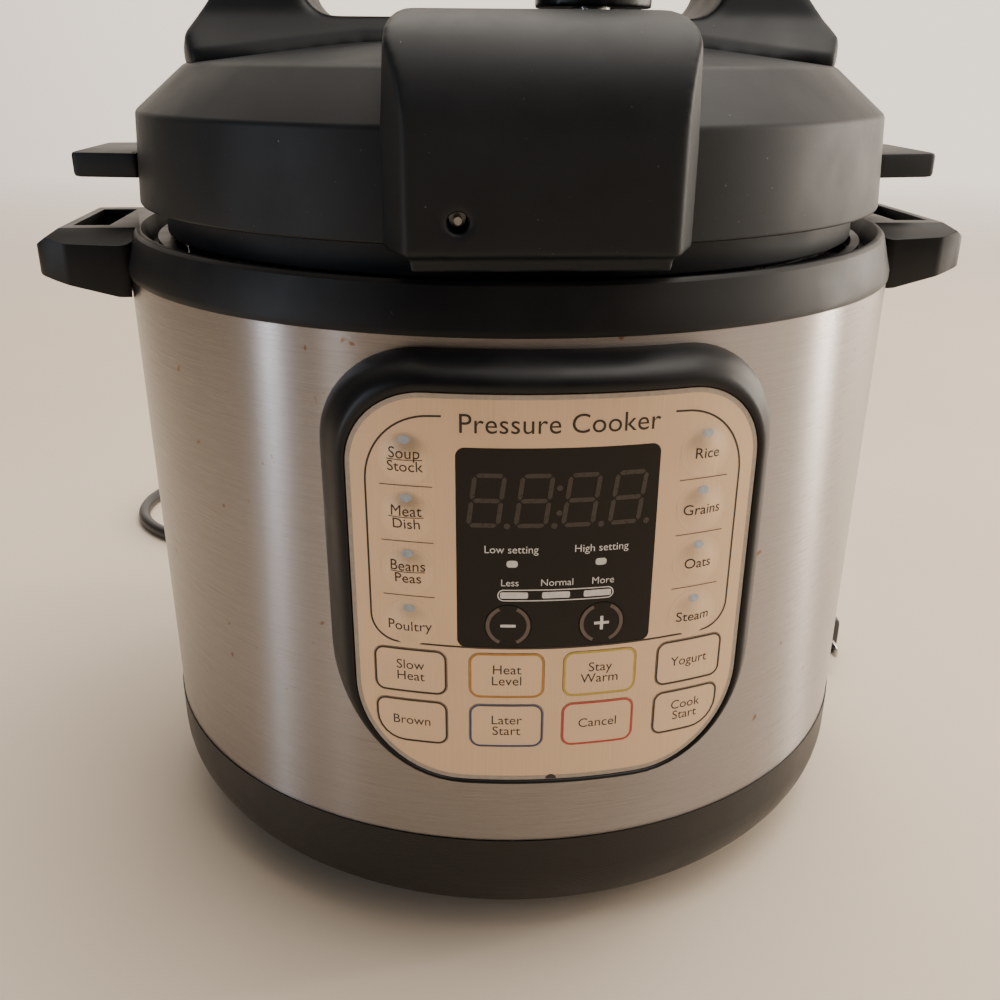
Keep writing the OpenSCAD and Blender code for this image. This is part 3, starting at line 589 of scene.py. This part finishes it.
WIDE_KEYS = {                       # turn, height, words, ink, corner that is cut large
    "slow": (-16.1, 108.3, "Slow\nHeat", "print_dark", None),
    "level": (-5.25, 108.3, "Heat\nLevel", "print_orange", None),
    "warm": (5.25, 108.3, "Stay\nWarm", "print_olive", None),
    "yogurt": (16.1, 108.3, "Yogurt", "print_dark", None),
    "brown": (-16.1, 91.7, "Brown", "print_dark", LOWER_LEFT),
    "timer": (-5.25, 91.7, "Later\nStart", "print_blue", None),
    "cancel": (5.25, 91.7, "Cancel", "print_red", None),
    "cook": (16.1, 91.7, "Cook\nStart", "print_dark", LOWER_RIGHT),
}
ADJUST_KEYS = {"minus": (-5.15, 124.2), "plus": (5.15, 124.2)}


def on_panel(turn, z0, points, lift, dome=None):
    """Wraps flat millimetre points round the panel, about a place given by turn and height."""
    out = []
    for x, y in points:
        r = PANEL_R / MM
        if dome is not None:
            dx, dy = x - dome[0], y - dome[1]
            d2 = dx * dx + dy * dy
            if d2 < DOME_SPREAD ** 2:
                r += DOME_RISE * (1 - d2 / DOME_SPREAD ** 2) ** 2
        a = math.radians(turn) + x / (PANEL_R / MM)
        r = (r + lift) * MM
        out.append((r * math.sin(a), POT_Y - r * math.cos(a), (z0 + y) * MM))
    return out


def outline(side=0.0, top=0.0, low=0.0, steps=14, runs=26, r_top=21.0, r_low=30.0):
    """The panel's outline in millimetres, grown at the sides, top and bottom.

    It always has the same number of points, so that outlines can be skinned together.
    """
    half, z0, z1 = FACE_HALF + side, FACE_LOW - low, FACE_HIGH + top
    rt, rl = r_top + side, r_low + side
    corners = [((half - rt, z1 - rt), rt, 0), ((-half + rt, z1 - rt), rt, 90),
               ((-half + rl, z0 + rl), rl, 180), ((half - rl, z0 + rl), rl, 270)]
    out = []
    for i, ((cx, cy), r, start) in enumerate(corners):
        arc = [(cx + r * math.cos(math.radians(start + 90 * k / steps)),
                cy + r * math.sin(math.radians(start + 90 * k / steps))) for k in range(steps + 1)]
        out += arc
        (nx, ny), nr, ns = corners[(i + 1) % 4]
        end = (nx + nr * math.cos(math.radians(ns)), ny + nr * math.sin(math.radians(ns)))
        here, there = np.array(arc[-1]), np.array(end)
        out += [tuple(here + (there - here) * k / runs) for k in range(1, runs)]
    return out


def flat_to_drum(points, radius):
    """Stands an XZ outline against a drum of that radius, in millimetres."""
    return [(x * MM, POT_Y - math.sqrt(max(radius * radius - x * x, 0)) * MM, z * MM) for x, z in points]


def make_bezel():
    """Wide rolled rim round the panel, thickest at the top."""
    layers = [  # side, top, low, radius
        (7.4, 8.6, 2.0, 132.55), (7.3, 8.5, 2.0, 134.0), (6.9, 8.1, 1.9, 136.5), (6.2, 7.4, 1.8, 138.8),
        (5.2, 6.4, 1.7, 141.0), (4.2, 5.3, 1.55, 142.6), (3.2, 4.1, 1.4, 143.8), (2.5, 3.2, 1.25, 144.35),
        (1.9, 2.4, 1.0, 144.6), (1.3, 1.5, 0.8, 144.62), (0.75, 0.8, 0.5, 144.5), (0.35, 0.35, 0.3, 144.2),
        (0.12, 0.12, 0.12, 143.9), (0.1, 0.1, 0.1, 140.2),
    ]
    rings = [flat_to_drum(outline(s, t, l), r) for s, t, l, r in layers]
    verts = [v for ring in rings for v in ring]
    n = len(rings[0])
    faces = []
    for k in range(len(rings) - 1):
        for i in range(n):
            j = (i + 1) % n
            faces.append((k * n + i, (k + 1) * n + i, (k + 1) * n + j, k * n + j))
    mesh = mesh_from("panel_bezel.rolled", verts, faces)
    tidy_mesh(mesh)
    obj = link("panel_bezel.rolled", mesh, "cooker", M["bezel_plastic"])
    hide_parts("panel_bezel")
    return obj


def strip(points, width, closed=False, step=1.5):
    """Flat ribbon along a line of millimetre points: (points, faces), cut short enough to wrap."""
    line = [np.array(p, float) for p in points]
    if closed:
        line.append(line[0])
    fine = []
    for a, b in zip(line, line[1:]):
        cuts = max(1, int(np.linalg.norm(b - a) / step))
        fine += [a + (b - a) * k / cuts for k in range(cuts)]
    if not closed:
        fine.append(line[-1])
    n = len(fine)
    verts, faces = [], []
    for i, p in enumerate(fine):
        before = fine[i - 1] if (closed or i > 0) else p
        after = fine[(i + 1) % n] if (closed or i < n - 1) else p
        d = after - before
        d = d / (np.linalg.norm(d) or 1)
        side = np.array([-d[1], d[0]]) * width / 2
        verts += [tuple(p + side), tuple(p - side)]
    for i in range(n if closed else n - 1):
        j = (i + 1) % n
        faces.append((2 * i, 2 * j, 2 * j + 1, 2 * i + 1))
    return verts, faces


def round_rect(w, h, r, steps=6, big=None):
    """Rounded rectangle about the origin; big = (corner index, radius) makes one corner larger."""
    out = []
    corners = [(1, 1, 0), (-1, 1, 90), (-1, -1, 180), (1, -1, 270)]
    for i, (sx, sy, start) in enumerate(corners):
        rr = big[1] if big and big[0] == i else r
        cx, cy = sx * (w / 2 - rr), sy * (h / 2 - rr)
        out += [(cx + rr * math.cos(math.radians(start + 90 * k / steps)),
                 cy + rr * math.sin(math.radians(start + 90 * k / steps))) for k in range(steps + 1)]
    return out


def disc_points(x, y, r, count=20):
    """Points round a circle."""
    turns = [2 * math.pi * k / count for k in range(count)]
    return [(x + r * math.cos(a), y + r * math.sin(a)) for a in turns]


def words(text, size, spacing=1.0):
    """Flat letters in millimetres about the origin: (points, faces)."""
    data = bpy.data.curves.new("words", "FONT")
    data.body, data.size = text, size
    data.align_x, data.align_y = "CENTER", "CENTER"
    data.space_line, data.space_character = 0.86, spacing
    data.resolution_u = 4
    obj = bpy.data.objects.new("words", data)
    scene.collection.objects.link(obj)
    mesh = bpy.data.meshes.new_from_object(obj.evaluated_get(bpy.context.evaluated_depsgraph_get()))
    verts = [(v.co.x, v.co.y) for v in mesh.vertices]
    faces = [tuple(p.vertices) for p in mesh.polygons]
    bpy.data.objects.remove(obj)
    bpy.data.meshes.remove(mesh)
    return verts, faces


class Print:
    """Collects flat shapes and wraps them on the panel as one printed piece."""

    def __init__(self, turn=0.0, z0=0.0, lift=0.04, dome=None):
        self.turn, self.z0, self.lift, self.dome = turn, z0, lift, dome
        self.verts, self.faces = [], []

    def add(self, shape, dx=0.0, dy=0.0):
        """Adds a shape of (points, faces), moved by dx and dy."""
        verts, faces = shape
        start = len(self.verts)
        self.verts += [(x + dx, y + dy) for x, y in verts]
        self.faces += [tuple(i + start for i in f) for f in faces]

    def polygon(self, points):
        """Adds one filled outline."""
        self.add((points, [tuple(range(len(points)))]))

    def piece(self, name, body, material):
        """Makes one piece of everything added."""
        wrapped = on_panel(self.turn, self.z0, self.verts, self.lift, self.dome)
        mesh = mesh_from(name, wrapped, self.faces)
        return link(name, mesh, body, M[material], smooth=False)


def make_round_keys():
    """Domed caps, each with a painted highlight near its top and one or two names."""
    for key, (turn, z, label) in ROUND_KEYS.items():
        rings = [on_panel(turn, z, disc_points(0, 0, radius, 48), 0.02, dome=(0, 0)) for radius in CAP_RINGS]
        body = key + "_key"
        cap = link(f"key_{key}.cap", block_loft("cap", rings), body, M["key_film"])
        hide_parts("key_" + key)
        # painted highlight: a pale oval near the top of the dome stands in for the light that the dome
        # catches
        lens = Print(turn, z, 0.07, dome=(0, 0))
        lens.polygon([(1.35 * x, HIGHLIGHT_Y + (y - HIGHLIGHT_Y) * 0.9) for x, y in disc_points(0, HIGHLIGHT_Y, HIGHLIGHT_R)])
        lens.piece(f"key_{key}.lens", body, "key_lens")
        text = Print(turn, z, 0.09, dome=(0, 0))
        text.add(words(label, 4.3), dy=-0.6)
        if "\n" in label:
            half, y = UNDERLINE
            text.add(strip([(-half, y), (half, y)], 0.22))
        text.piece(f"key_{key}.label", body, "print_dark")


def make_wide_keys():
    """A printed outline and a name on each wide key."""
    for key, (turn, z, label, colour, corner) in WIDE_KEYS.items():
        body = key + "_key"
        big = (corner, WIDE_BIG_R) if corner else None
        ring = Print(turn, z, 0.13)
        ring.add(strip(round_rect(WIDE_W, WIDE_H, WIDE_R, big=big), 0.6, closed=True))
        ring.piece(f"key_{key}.outline", body, colour)
        text = Print(turn, z, 0.13)
        text.add(words(label, 4.2))
        text.piece(f"key_{key}.label", body, "print_dark")


def make_adjust_keys():
    """A pair of crescents and a sign on the minus and plus keys."""
    sweep, radius, cuts = 130, 5.6, 20
    for key, (turn, z) in ADJUST_KEYS.items():
        body = key + "_key"
        arcs = Print(turn, z, 0.13)
        for start in (115, -65):
            turns = [math.radians(start + sweep * k / cuts) for k in range(cuts + 1)]
            arcs.add(strip([(radius * math.cos(a), radius * math.sin(a)) for a in turns], 1.0))
        arcs.piece(f"key_{key}.crescents", body, "print_brown")
        sign = Print(turn, z, 0.15)
        arm, width = 2.1, 0.85
        sign.add(strip([(-arm, 0), (arm, 0)], width))
        if key == "plus":
            sign.add(strip([(0, 0.43), (0, arm)], width))
            sign.add(strip([(0, -arm), (0, -0.43)], width))
        sign.piece(f"key_{key}.sign", body, "print_white")


def segment_digit(cx, cy, w=9.0, h=15.2, t=1.25, slant=0.13):
    """Seven unlit segments of one digit, as polygons."""
    gap, hw, hh = 0.28, w / 2 - t / 2, h / 2 - t / 2

    def bar(x0, y0, x1, y1):
        """One segment, pointed at both ends."""
        d = np.array([x1 - x0, y1 - y0], float)
        length = np.linalg.norm(d)
        d /= length
        side = np.array([-d[1], d[0]]) * t / 2
        a, b = np.array([x0, y0]) + d * gap, np.array([x1, y1]) - d * gap
        pts = [a, a + d * t / 2 + side, b - d * t / 2 + side,
               b, b - d * t / 2 - side, a + d * t / 2 - side]
        return [(p[0] + p[1] * slant + cx, p[1] + cy) for p in pts]

    return [bar(-hw, hh, hw, hh), bar(-hw, 0, hw, 0), bar(-hw, -hh, hw, -hh),
            bar(-hw, 0, -hw, hh), bar(hw, 0, hw, hh), bar(-hw, -hh, -hw, 0), bar(hw, -hh, hw, 0)]


def face_line():
    """The long line round the keys: down one side with rounded turns, and up the other."""
    quarter = [math.pi / 32 * k for k in range(17)]
    left = [(-30.4, 183.6)] + [(-33.3 - 18 * math.sin(a), 164.6 + 18.9 * math.cos(a)) for a in quarter]
    left += [(-43.3 - 8 * math.cos(a), 125.4 - 8 * math.sin(a)) for a in quarter]
    left += [(-20, 117.1), (0, 117.0)]
    return left + [(-x, z) for x, z in left[::-1][1:]]


def make_face_print():
    """Line, title, rules between the round keys, and the pale edge of the panel's film."""
    dark = Print(0, 0, 0.05)
    dark.add(strip(face_line(), 0.55))
    dark.add(words("Pressure Cooker", 7.4, 1.02), dy=181.6)
    half_turn = [math.pi * k / 12 for k in range(13)]
    dark.polygon([(1.6 * math.cos(a), FACE_LOW + 0.25 + 1.5 * math.sin(a)) for a in half_turn])
    dark.piece("panel_face.print", "cooker", "print_dark")
    faint = Print(0, 0, 0.05)
    for x in (-40.2, 40.2):
        for z in (164.2, 148.2, 132.0):
            faint.add(strip([(x - 7.2, z), (x + 7.2, z)], 0.28))
    faint.piece("panel_face.rules", "cooker", "print_brown")
    border = Print(0, 0, 0.03)
    edge, radius = outline(-0.75, -0.75, -0.75), PANEL_R / MM
    border.add(strip([(math.asin(x / radius) * radius, z) for x, z in edge], 1.3, closed=True))
    border.piece("panel_face.border", "cooker", "print_edge")


def make_digits():
    """Four unlit digits with their points, and a colon in the middle."""
    dim = Print(0, 0, 0.0)
    for cx in (-18.9, -6.4, 6.1, 18.6):
        for poly in segment_digit(cx, 161.0):
            dim.polygon(poly)
        dim.polygon(disc_points(cx + 5.4, 153.9, 0.85))
    for cy in (157.5, 164.5):
        dim.polygon(disc_points(0.2, cy, 0.8))
    dim.piece("display_window.digits", "cooker", "print_dim")


def make_marks():
    """White words and level marks under the digits."""
    lamp_z, word_z, bar_z = 142.9, 137.2, 133.5
    white = Print(0, 0, 0.02)
    white.add(words("Low setting", 3.1), dx=-12.3, dy=147.0)
    white.add(words("High setting", 3.1), dx=12.0, dy=147.0)
    for cx in (-12.0, 12.0):
        white.polygon([(x + cx, y + lamp_z) for x, y in round_rect(3.0, 2.0, 0.8)])
    for text, cx in (("Less", -12.6), ("Normal", 0.2), ("More", 12.8)):
        white.add(words(text, 2.9), dx=cx, dy=word_z)
    white.add(strip([(x, y + bar_z) for x, y in round_rect(31.5, 3.2, 1.5)], 0.32, closed=True))
    for cx in (-11.4, 0, 11.4):
        white.polygon([(x + cx, y + bar_z) for x, y in round_rect(7.6, 1.9, 0.5)])
    white.piece("display_window.marks", "cooker", "print_white")


make_bezel()
make_round_keys()
make_wide_keys()
make_adjust_keys()
make_face_print()
make_digits()
make_marks()


# ---- body and lid shells ----

def turned_by(mesh, angle):
    """Turns a mesh about the pot's axis."""
    about = Matrix.Translation((0, POT_Y, 0))
    mesh.transform(about @ Matrix.Rotation(angle, 4, "Z") @ about.inverted())


TAB_PLAN = [(0.1235, 0.026), (0.130, 0.0248), (0.146, 0.022),
            (0.146, -0.022), (0.130, -0.0248), (0.1235, -0.026)]
TAB_HALF_W, TAB_ROOT_X = 0.022, 0.125


def lid_tab(side):
    """One of the lid's two side tabs, with its edges rolled over."""
    low, high = LID_Z + 0.007, LID_Z + 0.015
    plan = rounded_profile(TAB_PLAN, 0.0022, steps=5)
    rings = []
    for inset, z in ((0.0012, low), (0.0003, low + 0.0003), (0, low + 0.0012),
                     (0, high - 0.0012), (0.0003, high - 0.0003), (0.0012, high)):
        rings.append([(side * (x - (inset if x > TAB_ROOT_X else 0)),
                       POT_Y + y * (1 - inset / TAB_HALF_W), z) for x, y in plan])
    return block_loft("tab", rings)


def make_lid_shell():
    """Turned cover with a rolled lower edge and crisp shoulder, and its two tabs."""
    r, skirt_r, step_r, lip_r = LID_R, LID_R - 0.0025, 0.1188, 0.110
    inside = [
        (0.0, CROWN_Z - 0.0027), (0.06, CROWN_Z - 0.0036), (0.107, CONE_Z - 0.0026),
        (r - 0.0058, SHOULDER_Z - 0.001), (0.1212, LID_Z + 0.0059), (lip_r, LID_Z + 0.0059),
        (lip_r, 0.2105), (0.1125, 0.211), (0.1125, 0.2132), (step_r, 0.2132, 0.0006),
        (step_r, LID_Z + 0.0034, 0.001), (skirt_r, LID_Z + 0.0034, 0.001),
    ]
    outside = [
        (skirt_r, LID_Z, 0.0009), (r - 0.0004, LID_Z, 0.0016), (r - 0.0022, SHOULDER_Z, 0.0011),
        (0.108, CONE_Z, 0.0016), (0.06, CROWN_Z - 0.001, 0.01), (0.0, CROWN_Z),
    ]
    shell = bmesh.new()
    shell.from_mesh(lathe("cover", rounded_profile(inside + outside, 0.0005, steps=5), segments=320))
    for side in (-1, 1):
        shell.from_mesh(lid_tab(side))
    mesh = bpy.data.meshes.new("lid_cover.shell")
    shell.to_mesh(mesh)
    shell.free()
    turned_by(mesh, LID_TURN)
    obj = link("lid_cover.shell", mesh, "lid", M["lid_plastic"])
    sharp_by_angle(obj, 32)
    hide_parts("lid_cover")


def seated(obj, reach=0.0035, drop=0.0022):
    """Runs the foot of a moulded piece down into the cover, so that the two meet in a clean line."""
    radii = (0.0, 0.06, 0.108, 0.1248)
    heights = (CROWN_Z, CROWN_Z - 0.001, CONE_Z, SHOULDER_Z)
    for v in obj.data.vertices:
        above = v.co.z - float(np.interp(math.hypot(v.co.x, v.co.y - POT_Y), radii, heights))
        if above < reach:
            v.co.z -= drop * (1 - max(above, 0.0) / reach)


def sharp_by_angle(obj, degrees):
    """Smooth shading that still breaks at real edges."""
    bm = bmesh.new()
    bm.from_mesh(obj.data)
    for edge in bm.edges:
        edge.smooth = len(edge.link_faces) != 2 or edge.calc_face_angle(0) < math.radians(degrees)
    bm.to_mesh(obj.data)
    bm.free()


softened("rim_ring", "cooker", M["rim_plastic"], 0.0011, 3)
make_lid_shell()
moulded("valve_housing", "lid", M["lid_plastic"], 0.0007, 14)
seated(moulded("lid_handle", "lid", M["lid_plastic"], 0.0009, 34))
softened("condensate_cup", "cup", M["clear_plastic"], 0.0004, 2)
moulded("release_knob", "knob", M["knob_plastic"], 0.0005, 8)


# ---- stage, light ----

FLOOR_HALF = 9.0
FADE_START, FADE_END = 0.9, 2.6     # the floor thins out to nothing, so that it has no horizon
BRIGHT_SIDE = (0.72, 0.60, 0.30)    # the direction that the surroundings are brightest in
DIM, BRIGHT = 0.07, 1.8
LIGHTS = {                          # place, aim, width, height, watts, colour
    "key": ((0.55, -0.25, 1.9), (0, 0, 0.15), 1.0, 0.9, 15, (1.0, 0.96, 0.90)),
    "window_strip": ((-1.25, -0.42, 0.22), (0, 0, 0.13), 0.03, 0.9, 3.6, (0.78, 0.87, 1.0)),
    "second_strip": ((-1.05, -0.85, 0.22), (0, 0, 0.13), 0.03, 0.9, 1.0, (0.92, 0.95, 1.0)),
    "side_strip": ((1.3, 0.05, 0.22), (0, 0, 0.13), 0.06, 0.9, 11, (1.0, 0.92, 0.80)),
    "warm_side": ((1.2, 0.55, 0.40), (0, 0, 0.15), 0.5, 0.6, 5, (1.0, 0.90, 0.76)),
    "top": ((0.3, 0.7, 1.8), (0, 0, 0.2), 1.4, 1.0, 14, (1.0, 0.95, 0.87)),
}


def make_floor():
    """Plain pale floor that fades out with the distance from the cooker."""
    corners = [(x * FLOOR_HALF, y * FLOOR_HALF, 0) for x, y in ((-1, -1), (1, -1), (1, 1), (-1, 1))]
    mesh = mesh_from("floor", corners, [(0, 1, 2, 3)])
    floor = bpy.data.objects.new("floor", mesh)
    scene.collection.objects.link(floor)
    n = Nodes("floor_pale")
    cloud = n.noise(n.coords(), 3, 4)
    tone = n.ramp(cloud, "Fac", [(0.3, (0.64, 0.545, 0.44)), (0.7, (0.69, 0.59, 0.48))])
    n.join(tone, "Color", n.shader, "Base Color")
    n.shader.inputs["Roughness"].default_value = 0.6
    far = n.node("ShaderNodeVectorMath", operation="LENGTH")
    n.join(n.coords(), 0, far, 0)
    fade = n.spread(far, "Value", 1, 0, FADE_START, FADE_END)
    n.join(fade, "Result", n.shader, "Alpha")
    mesh.materials.append(n.mat)


def make_surroundings():
    """Warm surroundings that run softly from a bright side to a dim one."""
    world = bpy.data.worlds.new("studio")
    scene.world = world
    world.use_nodes = True
    tree = world.node_tree
    back = tree.nodes["Background"]
    back.inputs["Color"].default_value = (1.0, 0.87, 0.73, 1)
    place = tree.nodes.new("ShaderNodeTexCoord")
    toward = tree.nodes.new("ShaderNodeVectorMath")
    toward.operation = "DOT_PRODUCT"
    toward.inputs[1].default_value = BRIGHT_SIDE
    level = tree.nodes.new("ShaderNodeMapRange")
    level.interpolation_type = "SMOOTHSTEP"
    for key, value in (("From Min", -0.3), ("From Max", 0.6), ("To Min", DIM), ("To Max", BRIGHT)):
        level.inputs[key].default_value = value
    tree.links.new(place.outputs["Generated"], toward.inputs[0])
    tree.links.new(toward.outputs["Value"], level.inputs["Value"])
    tree.links.new(level.outputs["Result"], back.inputs["Strength"])


def area_light(name, place, aim, width, height, watts, colour):
    """A rectangular lamp that faces the point aim."""
    data = bpy.data.lights.new(name, "AREA")
    data.shape, data.size, data.size_y = "RECTANGLE", width, height
    data.energy, data.color = watts, colour
    obj = bpy.data.objects.new(name, data)
    scene.collection.objects.link(obj)
    obj.location = place
    obj.rotation_euler = (Vector(aim) - Vector(place)).to_track_quat("-Z", "Y").to_euler()


make_floor()
make_surroundings()
for light_name, setting in LIGHTS.items():
    area_light(light_name, *setting)
